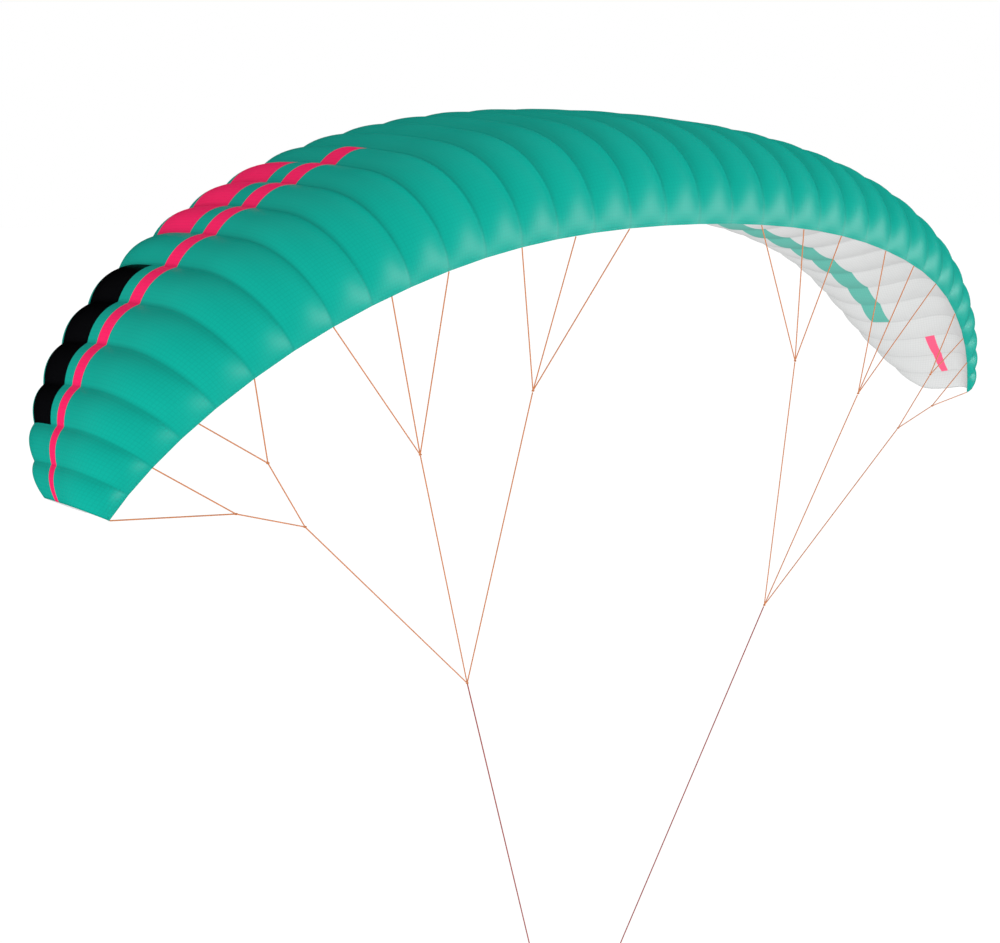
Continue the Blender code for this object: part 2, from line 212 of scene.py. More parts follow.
# %% The rib's outline
class Rib:
    def __init__(self, number):
        """number runs from -17 at the left tip over 0 in the middle to 17 at the right tip."""
        side = -1 if number < 0 else 1
        place = abs(number)
        run = [0.0]
        for a, b in zip(TRAILING_EDGE, TRAILING_EDGE[1:]):
            run.append(run[-1] + math.hypot(b[0] - a[0], b[2] - a[2]))
        s = run[place] / run[-1]
        roll = power_sum(SPAN_LAWS["roll"], s)
        twist = math.radians(power_sum(SPAN_LAWS["twist"], s))
        self.number = number
        self.side = side
        self.share = s
        self.chord = ROOT_CHORD * power_sum(SPAN_LAWS["chord"], s)
        self.thick = THICKNESS * power_sum(SPAN_LAWS["thickness"], s)
        self.bend = math.radians(power_sum(SPAN_LAWS["droop"], s))
        self.edge = self.turned(at(TRAILING_EDGE[place]))
        out = Vector((math.sin(roll), 0.0, math.cos(roll)))
        forward = Vector((0, 1, 0))
        self.ahead = self.turned(math.cos(twist) * forward + math.sin(twist) * out)
        self.above = self.turned(math.cos(twist) * out - math.sin(twist) * forward)
        self.across = self.turned(Vector((math.cos(roll), 0.0, -math.sin(roll))))
        self.line = [(0.0, 0.0)]
        for i in range(CAMBER_STEPS):
            turn = camber_angle((i + 0.5) / CAMBER_STEPS, self.bend)
            x, y = self.line[-1]
            self.line.append((x + math.cos(turn) / CAMBER_STEPS, y + math.sin(turn) / CAMBER_STEPS))

    def turned(self, v):
        return Vector((v.x * self.side, v.y, v.z))

    def middle(self, x):
        i = min(int(x * CAMBER_STEPS), CAMBER_STEPS - 1)
        f = x * CAMBER_STEPS - i
        a = self.line[i]
        b = self.line[i + 1]
        return a[0] + (b[0] - a[0]) * f, a[1] + (b[1] - a[1]) * f

    def flat(self, x, over):
        turn = camber_angle(x, self.bend)
        half = half_thickness(x, self.thick) * self.chord + HEM_HALF * x
        mx, my = self.middle(x)
        ex, ey = self.middle(1.0)
        return ((ex - mx) * self.chord + over * half * math.sin(turn),
                (my - ey) * self.chord + over * half * math.cos(turn))

    def lift(self, u, v):
        return self.edge + self.ahead * u + self.above * v

    def point(self, x, over):
        return self.lift(*self.flat(x, over))

    def normal(self, x, over):
        if x == 0.0:
            return self.ahead.copy()
        a = Vector(self.flat(max(x - NORMAL_STEP, 0.0), over))
        b = Vector(self.flat(min(x + NORMAL_STEP, 1.0), over))
        t = (b - a).normalized() * over
        return self.ahead * t.y - self.above * t.x

    def mouth(self):
        """Shares of the chord between which the intake under the nose is open."""
        shut = min(max((self.share - SHUT_FROM) / (SHUT_TO - SHUT_FROM), 0.0), 1.0)
        return MOUTH_TOP, MOUTH_TOP + MOUTH_OPEN * (1 - shut) + MOUTH_SHUT / self.chord * shut


RIBS = {number: Rib(number) for number in range(-TIP, TIP + 1)}
print("centre rib", round(RIBS[0].chord, 3), "m long, tip rib", round(RIBS[TIP].chord, 3), "m")

# %% [markdown]
# ## Small helpers for node trees
# Both geometry and materials are node trees here. A few short helpers keep the cells readable:
# they add a node with its inputs, make a group and place it, do one sum, multiply a row of values,
# mix two colours and fade a mask. The last one turns a finished modifier into plain mesh, because
# an exported file keeps only meshes.

# %% Node helpers
def set_inputs(tree, node, inputs):
    """Gives a node's inputs a value each, or links them to another node's output."""
    for name, value in inputs.items():
        if isinstance(value, bpy.types.NodeSocket):
            tree.links.new(value, node.inputs[name])
        else:
            node.inputs[name].default_value = value


def add_node(tree, kind, inputs=None, **settings):
    node = tree.nodes.new(kind)
    for name, value in settings.items():
        setattr(node, name, value)
    set_inputs(tree, node, inputs or {})
    return node


def new_tree(name, kind, inputs, outputs):
    """A node group with its sockets: names, kinds and, for an input, a value where it has one."""
    tree = bpy.data.node_groups.new(name, kind)
    for socket, socket_kind, *value in inputs:
        item = tree.interface.new_socket(socket, in_out="INPUT", socket_type="NodeSocket" + socket_kind)
        if value:
            item.default_value = value[0]
    for socket, socket_kind in outputs:
        tree.interface.new_socket(socket, in_out="OUTPUT", socket_type="NodeSocket" + socket_kind)
    return tree, add_node(tree, "NodeGroupInput"), add_node(tree, "NodeGroupOutput")


def place_group(tree, group, values):
    """The group as one node, with its inputs set or linked."""
    return add_node(tree, "ShaderNodeGroup", values, node_tree=group).outputs


def math_node(tree, operation, *values):
    return add_node(tree, "ShaderNodeMath", dict(enumerate(values)), operation=operation).outputs[0]


def product(tree, first, *others):
    for value in others:
        first = math_node(tree, "MULTIPLY", first, value)
    return first


print("node helpers ready")


# %% Helpers for materials
def new_material(name):
    mat = bpy.data.materials.new(name)
    mat.use_nodes = True
    return mat, mat.node_tree, mat.node_tree.nodes["Principled BSDF"]


def colour_mix(tree, factor, first, second, blend="MIX"):
    """Two colours mixed; each is three numbers or another node's output."""
    pair = [c if isinstance(c, bpy.types.NodeSocket) else (*c, 1.0) for c in (first, second)]
    mix = add_node(tree, "ShaderNodeMix", {"Factor": factor, 6: pair[0], 7: pair[1]},
                   data_type="RGBA", blend_type=blend)
    return mix.outputs[2]


def fade_from(tree, value, full, gone):
    """A mask that is 1 up to one value and falls smoothly to 0 at the other."""
    return add_node(tree, "ShaderNodeMapRange", {"Value": value, "From Min": full, "From Max": gone,
                                                 "To Min": 1.0, "To Max": 0.0},
                    interpolation_type="SMOOTHSTEP").outputs[0]


print("material helpers ready")


# %% Helpers for geometry
def give_material(tree, start, end, geometry):
    """The last steps of a geometry tree: real copies, with their material."""
    real = add_node(tree, "GeometryNodeRealizeInstances", {"Geometry": geometry})
    dyed = add_node(tree, "GeometryNodeSetMaterial", {"Geometry": real.outputs[0],
                                                      "Material": start.outputs["Material"]})
    tree.links.new(dyed.outputs[0], end.inputs[0])


def run_tree(obj, tree, values):
    """Puts the tree on an object with its inputs set, and gives the result back as a plain mesh."""
    mod = obj.modifiers.new(tree.name, "NODES")
    mod.node_group = tree
    for name, value in values.items():
        item = next(i for i in tree.interface.items_tree if i.item_type == "SOCKET" and i.name == name)
        mod[item.identifier] = value
    bpy.context.view_layer.update()
    graph = bpy.context.evaluated_depsgraph_get()
    made = bpy.data.meshes.new_from_object(obj.evaluated_get(graph), depsgraph=graph)
    name = obj.name
    bpy.data.objects.remove(obj, do_unlink=True)
    made.name = name
    return new_object(name, made)


print("geometry helpers ready")

# %% [markdown]
# ## Materials: cloth
# Wing cloth is a thin nylon with a coating. Thicker threads cross it in a small grid, so that a
# tear stops at the next one. The coating gives a soft shine. One group computes that grid and the
# fine weave between, from a UV map in metres, and every cloth of the wing uses it.

# %% Ripstop weave
THREAD_FULL = 0.03        # shares of the grid's step where a thick thread shows
THREAD_GONE = 0.14
WEAVE_SHARE = 0.25        # height of the fine weave beside the thick threads


def ripstop_group():
    tree, start, end = new_tree("ripstop_weave", "ShaderNodeTree",
                                [("Cloth", "Vector"), ("Grid", "Float", 0.024), ("Threads", "Float", 5.0)],
                                [("Height", "Float"), ("Grid lines", "Float")])
    parts = add_node(tree, "ShaderNodeSeparateXYZ", {0: start.outputs["Cloth"]})
    lines = []
    waves = []
    for axis in ("X", "Y"):
        cells = math_node(tree, "DIVIDE", parts.outputs[axis], start.outputs["Grid"])
        round_trip = math_node(tree, "PINGPONG", cells, 0.5)
        lines.append(fade_from(tree, round_trip, THREAD_FULL, THREAD_GONE))
        turns = product(tree, cells, start.outputs["Threads"], 2 * math.pi)
        waves.append(math_node(tree, "SINE", turns))
    grid = math_node(tree, "MAXIMUM", *lines)
    weave = product(tree, *waves)
    height = math_node(tree, "MULTIPLY_ADD", weave, WEAVE_SHARE, grid)
    set_inputs(tree, end, {"Height": height, "Grid lines": grid})
    return tree


RIPSTOP = ripstop_group()
print("group", RIPSTOP.name)

# %% [markdown]
# ## Materials: dyed bands
# Wings are bought in plain colours with bands along the span. A band is a box in the panel's own
# map: so many cells out from the middle, and so far forward from the trailing edge. The group
# takes both limits and gives a mask with edges as crisp as a sewn joint.

# %% Band mask
def band_group():
    tree, start, end = new_tree("dyed_band", "ShaderNodeTree",
                                [("Panel", "Vector"), ("From cell", "Float", 5.0), ("To cell", "Float", 12.0),
                                 ("From share", "Float", 0.4), ("To share", "Float", 0.5)],
                                [("Mask", "Float")])
    parts = add_node(tree, "ShaderNodeSeparateXYZ", {0: start.outputs["Panel"]})
    out = math_node(tree, "ABSOLUTE", math_node(tree, "MULTIPLY_ADD", parts.outputs["X"], 2.0 * TIP, -TIP))
    tests = [
        math_node(tree, "GREATER_THAN", out, start.outputs["From cell"]),
        math_node(tree, "LESS_THAN", out, start.outputs["To cell"]),
        math_node(tree, "GREATER_THAN", parts.outputs["Y"], start.outputs["From share"]),
        math_node(tree, "LESS_THAN", parts.outputs["Y"], start.outputs["To share"]),
    ]
    set_inputs(tree, end, {"Mask": product(tree, *tests)})
    return tree


BAND = band_group()
print("group", BAND.name)

# %% [markdown]
# ## Materials: uneven dye and sewn cells
# Dye never takes quite evenly, so slow clouds of a darker and a lighter tone cross the cloth. The
# second group knows the cells: it gives a mask near each seam, for painted shade and a small dip
# in the valley where the cloth is doubled over the rib, and the height of a broad round over each
# cell, lower towards the hem and in the narrow cells near the tips.

# %% Dye and cell groups
def dye_group():
    tree, start, end = new_tree("uneven_dye", "ShaderNodeTree",
                                [("Cloth", "Vector"), ("Scale", "Float", 1.7), ("Dark", "Color"),
                                 ("Light", "Color")],
                                [("Colour", "Color"), ("Cloud", "Float")])
    cloudy = add_node(tree, "ShaderNodeTexNoise", {"Vector": start.outputs["Cloth"],
                                                   "Scale": start.outputs["Scale"], "Detail": 3.0})
    colour = colour_mix(tree, cloudy.outputs[0], start.outputs["Dark"], start.outputs["Light"])
    set_inputs(tree, end, {"Colour": colour, "Cloud": cloudy.outputs[0]})
    return tree


def cell_group():
    tree, start, end = new_tree("sewn_cells", "ShaderNodeTree",
                                [("Panel", "Vector"), ("Seam reach", "Float", 0.060),
                                 ("Tip power", "Float", 3.0), ("Tip less", "Float", 0.65)],
                                [("Seam", "Float"), ("Fullness", "Float")])
    parts = add_node(tree, "ShaderNodeSeparateXYZ", {0: start.outputs["Panel"]})
    cells = product(tree, parts.outputs["X"], 2.0 * TIP)
    off = math_node(tree, "PINGPONG", cells, 0.5)
    rest = math_node(tree, "SUBTRACT", 1.0, off)
    hump = product(tree, off, rest, 4.0)
    out = math_node(tree, "ABSOLUTE", math_node(tree, "MULTIPLY_ADD", cells, 1.0 / TIP, -1.0))
    near_tip = math_node(tree, "POWER", out, start.outputs["Tip power"])
    less = product(tree, near_tip, start.outputs["Tip less"])
    narrow = math_node(tree, "SUBTRACT", 1.0, less)
    ramp = math_node(tree, "MINIMUM", math_node(tree, "DIVIDE", parts.outputs["Y"], BILLOW_RAMP), 1.0)
    fullness = product(tree, hump, ramp, narrow)
    # mask near each seam: it drives the painted shade in the valley and the seam's small dip
    seam = fade_from(tree, off, 0.0, start.outputs["Seam reach"])
    set_inputs(tree, end, {"Seam": seam, "Fullness": fullness})
    return tree


DYE = dye_group()
CELLS = cell_group()
print("groups", DYE.name, CELLS.name)

# %% [markdown]
# ## Materials: the finished cloths
# Each cloth is the same recipe with its own dye: an uneven base colour, the bands laid over it, a
# soft painted shade along each seam, standing for the shade in the valley where the cloth is doubled
# over the rib, and the weave as a fine relief. The broad relief over each cell adds a little to the
# round that the skins already have. The shine comes from the coating, set on the shader itself.

# %% Dyes and bands
TEAL = (0.000, 0.366, 0.287)
PINK = (0.980, 0.012, 0.130)
BLACK = (0.004, 0.004, 0.005)
PALE = (0.600, 0.608, 0.606)
SOFT_TEAL = (0.120, 0.430, 0.360)
SOFT_PINK = (0.900, 0.110, 0.220)
RIB_WHITE = (0.700, 0.710, 0.720)

UPPER_BANDS = [
    # dye    from cell  to cell  from share  to share
    (PINK, 6.0, 17.0, 0.540, 0.610),
    (BLACK, 11.0, 15.0, 0.680, 0.900),
    (PINK, 7.0, 10.0, 0.680, 0.880),
]
LOWER_BANDS = [
    (SOFT_TEAL, 5.0, 13.0, 0.520, 0.640),
    (SOFT_PINK, 14.0, 16.0, 0.300, 0.360),
]
print(len(UPPER_BANDS), "bands above,", len(LOWER_BANDS), "below")

# %% Cloth materials
DARKER = 0.94             # the dye at its darkest and lightest, as shares of its colour
LIGHTER = 1.05
LEAST_DYE = 0.002
THREAD_TINT = (0.92, 0.92, 0.92)
# painted shade in the seam valleys: how much the colour darkens at a seam, and towards which grey
SEAM_SHADE = 0.20
SEAM_SHADE_TINT = (0.45, 0.45, 0.45)
SEAM_DIP = 2.0            # depth of a seam beside the height of the thick threads
ROUGHNESS_SWING = 0.10
WEAVE_STRENGTH = 0.30
WEAVE_DEPTH = 0.0006
COATING = 0.08            # specular level


def cloth_material(name, dye, bands, roughness, rounding):
    mat, tree, shader = new_material(name)
    cloth = add_node(tree, "ShaderNodeUVMap", uv_map="cloth").outputs[0]
    panel = add_node(tree, "ShaderNodeUVMap", uv_map="panel").outputs[0]
    weave = place_group(tree, RIPSTOP, {"Cloth": cloth})
    clouds = place_group(tree, DYE, {"Cloth": cloth, "Dark": (*[c * DARKER for c in dye], 1.0),
                                     "Light": (*[min(c * LIGHTER + LEAST_DYE, 1.0) for c in dye], 1.0)})
    colour = clouds["Colour"]
    for band_dye, cell_a, cell_b, share_a, share_b in bands:
        band = place_group(tree, BAND, {"Panel": panel, "From cell": cell_a, "To cell": cell_b,
                                        "From share": share_a, "To share": share_b})
        colour = colour_mix(tree, band["Mask"], colour, band_dye)
    colour = colour_mix(tree, weave["Grid lines"], colour, THREAD_TINT, "MULTIPLY")
    relief = {"Height": weave["Height"]}
    if rounding:
        sewn = place_group(tree, CELLS, {"Panel": panel})
        # painted shade: the colour is darkened near each seam, in the valley between two cells
        seam_shade = product(tree, sewn["Seam"], SEAM_SHADE)
        colour = colour_mix(tree, seam_shade, colour, SEAM_SHADE_TINT, "MULTIPLY")
        dip = product(tree, sewn["Seam"], SEAM_DIP)
        relief["Height"] = math_node(tree, "SUBTRACT", weave["Height"], dip)
        relief["Normal"] = add_node(tree, "ShaderNodeBump", {"Strength": 1.0, "Distance": rounding,
                                                             "Height": sewn["Fullness"]}).outputs[0]
    rough = math_node(tree, "MULTIPLY_ADD", clouds["Cloud"], ROUGHNESS_SWING,
                      roughness - ROUGHNESS_SWING / 2)
    bump = add_node(tree, "ShaderNodeBump", {"Strength": WEAVE_STRENGTH, "Distance": WEAVE_DEPTH, **relief})
    set_inputs(tree, shader, {"Base Color": colour, "Roughness": rough, "Normal": bump.outputs[0],
                              "Specular IOR Level": COATING})
    return mat


# name, dye, bands, roughness, metres of added round; with none, no seam dip and no painted seam shade
UPPER_CLOTH = cloth_material("upper_cloth", TEAL, UPPER_BANDS, 0.42, 0.013)
LOWER_CLOTH = cloth_material("lower_cloth", PALE, LOWER_BANDS, 0.66, 0.006)
RIB_CLOTH = cloth_material("rib_cloth", RIB_WHITE, [], 0.60, 0.0)
print("cloths", UPPER_CLOTH.name, LOWER_CLOTH.name, RIB_CLOTH.name)


# %% [markdown]
# ## Materials: line and thread
# Brake lines are braided over a straight core, and the braid shows as fine marks, one after
# another. The marks follow an attribute that counts the metres along each line.

# %% Line materials
BRAID_SHADE = 0.80        # the dye between the marks, as a share of its colour
BRAID_STRENGTH = 0.35
BRAID_DEPTH = 0.0004
BRAID_ROUGHNESS = 0.68
BRAID_SMOOTHER = 0.10     # on the marks
BRAID_SHEEN = 0.20


def braid_group():
    """Marks that repeat after one pitch, in metres along the line."""
    tree, start, end = new_tree("braid_marks", "ShaderNodeTree",
                                [("Along", "Float"), ("Pitch", "Float", 0.008)], [("Mark", "Float")])
    turns = math_node(tree, "DIVIDE", start.outputs["Along"], start.outputs["Pitch"])
    wave = math_node(tree, "SINE", product(tree, turns, 2 * math.pi))
    set_inputs(tree, end, {"Mark": math_node(tree, "MULTIPLY_ADD", wave, 0.5, 0.5)})
    return tree


def line_material(name, dye, pitch):
    mat, tree, shader = new_material(name)
    along = add_node(tree, "ShaderNodeAttribute", attribute_name="along").outputs["Fac"]
    mark = place_group(tree, BRAID, {"Along": along, "Pitch": pitch})["Mark"]
    colour = colour_mix(tree, mark, [c * BRAID_SHADE for c in dye], dye)
    bump = add_node(tree, "ShaderNodeBump", {"Strength": BRAID_STRENGTH, "Distance": BRAID_DEPTH,
                                             "Height": mark})
    rough = math_node(tree, "MULTIPLY_ADD", mark, -BRAID_SMOOTHER, BRAID_ROUGHNESS)
    set_inputs(tree, shader, {"Base Color": colour, "Roughness": rough, "Normal": bump.outputs[0],
                              "Sheen Weight": BRAID_SHEEN})
    return mat


BRAID = braid_group()
BRAKE_CORD = line_material("brake_cord", (0.600, 0.195, 0.048), 0.008)
MAIN_CORD = line_material("main_cord", (0.350, 0.035, 0.026), 0.010)
THREAD = line_material("sewing_thread", (0.020, 0.330, 0.260), 0.003)
print("cords", BRAKE_CORD.name, MAIN_CORD.name)


# %% [markdown]
# ## The brake lines
# A brake pulls the trailing edge down. One main line per hand splits into fans of thinner lines,
# and each ends at the hem. A line held taut by its load is straight, so two points say where it
# runs. A Geometry Nodes tree sweeps a round section along that path, closes both ends, and stores
# how far along each point lies, so that the braid can follow it.

# %% The tree that makes a line
def line_tree():
    tree, start, end = new_tree("round_line", "GeometryNodeTree",
                                [("Geometry", "Geometry"), ("Radius", "Float", 0.003), ("Sides", "Int", 10),
                                 ("Step", "Float", 0.25), ("Material", "Material")],
                                [("Geometry", "Geometry")])
    path = add_node(tree, "GeometryNodeResampleCurve", {"Curve": start.outputs["Geometry"],
                                                        "Length": start.outputs["Step"]}, mode="LENGTH")
    place = add_node(tree, "GeometryNodeSplineParameter")
    stored = add_node(tree, "GeometryNodeStoreNamedAttribute",
                      {"Geometry": path.outputs[0], "Name": "along", "Value": place.outputs["Length"]},
                      data_type="FLOAT", domain="POINT")
    ring = add_node(tree, "GeometryNodeCurvePrimitiveCircle", {"Resolution": start.outputs["Sides"],
                                                               "Radius": start.outputs["Radius"]})
    tube = add_node(tree, "GeometryNodeCurveToMesh", {"Curve": stored.outputs[0],
                                                      "Profile Curve": ring.outputs[0], "Fill Caps": True})
    give_material(tree, start, end, tube.outputs[0])
    return tree


LINE = line_tree()
print("tree", LINE.name)


# %% A path, and a line made on it
def path_object(name, points, closed=False):
    data = bpy.data.curves.new(name, "CURVE")
    data.dimensions = "3D"
    spline = data.splines.new("POLY")
    spline.points.add(len(points) - 1)
    for point, place in zip(spline.points, points):
        point.co = (*place, 1.0)
    spline.use_cyclic_u = closed
    return new_object(name, data)


def outwards(obj):
    """Turns a closed mesh's faces outwards, where a swept shape came out inside out."""
    mesh = obj.data
    mesh.calc_loop_triangles()
    volume = 0.0
    for triangle in mesh.loop_triangles:
        a, b, c = [mesh.vertices[i].co for i in triangle.vertices]
        volume += a.dot(b.cross(c))
    if volume < 0:
        mesh.flip_normals()
    return obj


def line_piece(name, points, radius, material, closed=False, step=0.25, sides=10):
    path = path_object(name, points, closed)
    piece = run_tree(path, LINE, {"Radius": radius, "Sides": sides, "Step": step, "Material": material})
    piece.data.shade_smooth()
    return outwards(piece)


print("lines can be made")

# %% [markdown]
# ## Where the lines run
# The knots stand in the same short table as the solids' knots. Each fan names its knot and what
# its lines hang from: a rib of the trailing edge, a place between two ribs, or a higher knot.

# %% Knots and fans
LINE_RADIUS = 0.0042
MAIN_RADIUS = 0.0046
KNOT_RADIUS = 0.011
KNOT_REACH = 0.45         # a line ends this share of the knot's radius short of its middle
MAIN_BEYOND = 1.19        # the main line runs this many times the way from its knot to LOW
END_KNOT_LENGTH = 0.034

KNOTS = {
    # name    x        y        z
    "FAN_1": (0.3180, -0.0824, 0.1239),
    "FAN_2": (0.5287, -0.0675, 0.0450),
    "FAN_3A": (0.7840, -0.0529, 0.0597),
    "FAN_3B": (0.8253, -0.0330, -0.0095),
    "LINK": (0.7116, -0.0327, -0.0441),
    "MIDDLE": (0.3715, 0.0155, -0.3605),
    "LOW": (0.1443, 0.1150, -0.9275),
}
FANS = [
    # node       knot      upper ends
    ("fan_1", "FAN_1", (2, 3.5, 5)),
    ("fan_2", "FAN_2", (7, 8.5, 10)),
    ("fan_3a", "FAN_3A", (12, 13.5)),
    ("fan_3b", "FAN_3B", (15, 17)),
    ("link", "LINK", ("FAN_3A", "FAN_3B")),
    ("middle", "MIDDLE", ("FAN_1", "FAN_2", "LINK")),
]
print(len(FANS) * 2 + 2, "groups of lines")


# %% Where a line begins
def mirrored(p, side):
    return Vector((p.x * side, p.y, p.z))


def line_top(upper, lower, radius):
    """Where a line begins: just under the hem, or just under the knot that it hangs from."""
    if isinstance(upper, str):
        start = at(KNOTS[upper])
        return start + (lower - start).normalized() * (KNOT_RADIUS + GAP)
    i = int(upper)
    a = RIBS[i]
    b = RIBS[min(i + 1, TIP)]
    before = RIBS[max(i - 1, 0)] if upper == i else a
    start = a.edge.lerp(b.edge, upper - i)
    way = (lower - start).normalized()
    run = (b.edge - before.edge).normalized()
    face = (a.point(1.0, OVER).lerp(b.point(1.0, OVER), upper - i)
            - a.point(1.0, UNDER).lerp(b.point(1.0, UNDER), upper - i)).normalized()
    lean = abs(way.dot(run))
    square = (way - run * way.dot(run)).normalized()
    hem = HEM_HALF * abs(face.dot(square))
    return start + way * ((hem + HEM_GAP + radius * lean) / math.sqrt(1 - lean ** 2))


print("first line begins at", [round(v, 3) for v in line_top(2, at(KNOTS["FAN_1"]), LINE_RADIUS)])

# %% [markdown]
# ## Knots
# Where lines meet they are tied. An overhand knot is a trefoil: a path that goes round a ring
# twice while it winds through it three times. Swept with the line's own thickness it looks tied
# from every side, and it fits in the ball that the solid keeps for it.

# %% A knot on its path
KNOT_STEPS = 60
KNOT_RING = 0.62          # the ring's radius and the winding's, as shares of the room
KNOT_WIND = 0.38
KNOT_CORD = 0.0036        # the cord's radius where it is tied, drawn thinner by the pull
END_KNOT_SIZE = 0.0145
END_KNOT_CORD = 0.0044
END_KNOT_HOLD = 0.3       # the main line ends this share of the length past the middle


def knot_piece(name, place, way, size, radius, material):
    """A trefoil within a ball of the given size, its ring square to the way the line runs."""
    turn = way.to_track_quat("Z", "Y").to_matrix()
    ring = (size - radius) * KNOT_RING
    wind = (size - radius) * KNOT_WIND
    points = []
    for i in range(KNOT_STEPS):
        t = 2 * math.pi * i / KNOT_STEPS
        reach = ring + wind * math.cos(3 * t)
        points.append(place + turn @ Vector((reach * math.cos(2 * t), reach * math.sin(2 * t),
                                             wind * math.sin(3 * t))))
    return line_piece(name, points, radius, material, closed=True, step=0.0012, sides=8)


print("knots of", KNOT_STEPS, "steps")

# %% Every line and knot, both sides
cord_pieces = []


def hang_line(name, node, ends, radius, material, with_pieces):
    """A straight line between two places, hung on the root with the knot that it carries, in place of a
    hidden solid.
    """
    piece = line_piece(name, ends, radius, material)
    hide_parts(node)
    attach(piece, "root")
    for extra in with_pieces:
        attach(extra, "root")
    cord_pieces.append(piece)


for hand, side in (("right", 1), ("left", -1)):
    for node, knot_name, uppers in FANS:
        low = at(KNOTS[knot_name])
        knot = knot_piece("%s_%s_knot" % (hand, node), mirrored(low, side), Vector((0, 0, 1)),
                          KNOT_RADIUS, KNOT_CORD, BRAKE_CORD)
        for i, upper in enumerate(uppers):
            top = line_top(upper, low, LINE_RADIUS)
            foot = low + (top - low).normalized() * (KNOT_REACH * KNOT_RADIUS)
            hang_line("%s_%s_line_%d" % (hand, node, i + 1), "%s_brake_%s" % (hand, node),
                      [mirrored(top, side), mirrored(foot, side)], LINE_RADIUS, BRAKE_CORD,
                      [knot] if i == 0 else [])
    start = at(KNOTS["MIDDLE"])
    drop = at(KNOTS["LOW"]) - start
    way = drop.normalized()
    top = start + way * (KNOT_RADIUS + GAP)
    end = start + drop * MAIN_BEYOND
    foot = end + way * (END_KNOT_LENGTH * END_KNOT_HOLD)
    knot = knot_piece("%s_end_knot" % hand, mirrored(end, side), mirrored(way, side), END_KNOT_SIZE,
                      END_KNOT_CORD, MAIN_CORD)
    hang_line("%s_main_line" % hand, "%s_brake_main" % hand,
              [mirrored(top, side), mirrored(foot, side)], MAIN_RADIUS, MAIN_CORD, [knot])
print(len(cord_pieces), "lines, main line", round((foot - top).length, 3), "m")

# %% [markdown]
# ## Filling the cells
# The skins are cut flat and blow up into rounds between the ribs. The flat lattice is made first,
# one column of points per strip of cloth, each point knowing how far across its cell it lies. Then
# a Geometry Nodes tree does what the air does: it pushes the cloth out most in the middle of a
# cell and not at all at the seams, and puckers it a little beside each seam.

# %% The tree that fills a skin
def air_tree():
    tree, start, end = new_tree("fill_with_air", "GeometryNodeTree",
                                [("Geometry", "Geometry"), ("Crown", "Float", 0.13),
                                 ("Pucker", "Float", 0.001), ("Pucker pitch", "Float", 0.06),
                                 ("Seed", "Float", 7.0), ("Material", "Material")],
                                [("Geometry", "Geometry")])

    def attribute(name, kind="FLOAT"):
        return add_node(tree, "GeometryNodeInputNamedAttribute", {"Name": name}, data_type=kind).outputs[0]

    across = attribute("across")
    hump = product(tree, across, math_node(tree, "SUBTRACT", 1.0, across), 4.0)
    crown = product(tree, hump, attribute("grow"), attribute("width"), start.outputs["Crown"])
    low_down = math_node(tree, "POWER", math_node(tree, "SUBTRACT", 1.0, hump), 3.0)
    edge = product(tree, hump, 6.0, low_down)
    ripple = add_node(tree, "ShaderNodeTexNoise",
                      {"W": start.outputs["Seed"], "Detail": 1.0,
                       "Scale": math_node(tree, "DIVIDE", 1.0, start.outputs["Pucker pitch"])},
                      noise_dimensions="4D")
    swing = math_node(tree, "SUBTRACT", ripple.outputs[0], 0.5)
    pucker = product(tree, swing, edge, product(tree, start.outputs["Pucker"], attribute("grow")))
    push = add_node(tree, "ShaderNodeVectorMath", {0: attribute("out", "FLOAT_VECTOR"),
                                                   "Scale": math_node(tree, "ADD", crown, pucker)},
                    operation="SCALE")
    moved = add_node(tree, "GeometryNodeSetPosition", {"Geometry": start.outputs["Geometry"],
                                                       "Offset": push.outputs[0]})
    give_material(tree, start, end, moved.outputs[0])
    return tree


AIR = air_tree()
print("tree", AIR.name)

# %% [markdown]
# ## The lattice of a skin
# Stations along a rib are closest together at the nose and at the hem, where the cloth turns or
# flattens most. The lattice carries two UV maps: one in metres for the weave, and one that counts
# cells and shares of the panel for the dyed bands.

# %% Stations along a rib
UPPER_STEPS = 56
NOSE_STEPS = 5
LOWER_STEPS = 44
UPPER_STRIPS = 12
LOWER_STRIPS = 10


def eased(steps):
    """Shares from 1 to 0, closest together at both ends."""
    return [0.5 + 0.5 * math.cos(math.pi * i / steps) for i in range(steps + 1)]


def upper_stations(rib):
    top, _ = rib.mouth()
    nose = [(top * (i / NOSE_STEPS) ** 2, UNDER) for i in range(1, NOSE_STEPS + 1)]
    return [(x, OVER) for x in eased(UPPER_STEPS)] + nose


def lower_stations(rib):
    _, low = rib.mouth()
    return [(low + (1.0 - low) * x, UNDER) for x in eased(LOWER_STEPS)]


print("lattice of", 2 * TIP * UPPER_STRIPS, "by", UPPER_STEPS + NOSE_STEPS)


# %% The lattice
def flat_place(number, q, xa, xb, over):
    """On the flat cloth between two ribs: place, way out, growth of the crown, width of the cell."""
    a = RIBS[number]
    b = RIBS[number + 1]
    pa = a.point(xa, over)
    pb = b.point(xb, over)
    out = (a.normal(xa, over) * (1 - q) + b.normal(xb, over) * q).normalized()
    return pa.lerp(pb, q), out, min((1 - xa) / BILLOW_RAMP, 1.0), (pb - pa).length


def skin_columns(stations, strips):
    """Columns of (point, out, across, grow, width, cell place), from the left tip to the right."""
    columns = []
    for number in range(-TIP, TIP):
        rows = list(zip(stations(RIBS[number]), stations(RIBS[number + 1])))
        for k in range(strips + (number == TIP - 1)):
            q = k / strips
            column = []
            for (xa, over), (xb, _) in rows:
                place, out, grow, width = flat_place(number, q, xa, xb, over)
                column.append((place, out, q, grow, width, number + q))
            columns.append(column)
    return columns


def write_map(mesh, name, places):
    """A UV map from one place for each point."""
    layer = mesh.uv_layers.new(name=name)
    layer.data.foreach_set("uv", [v for loop in mesh.loops for v in places[loop.vertex_index]])


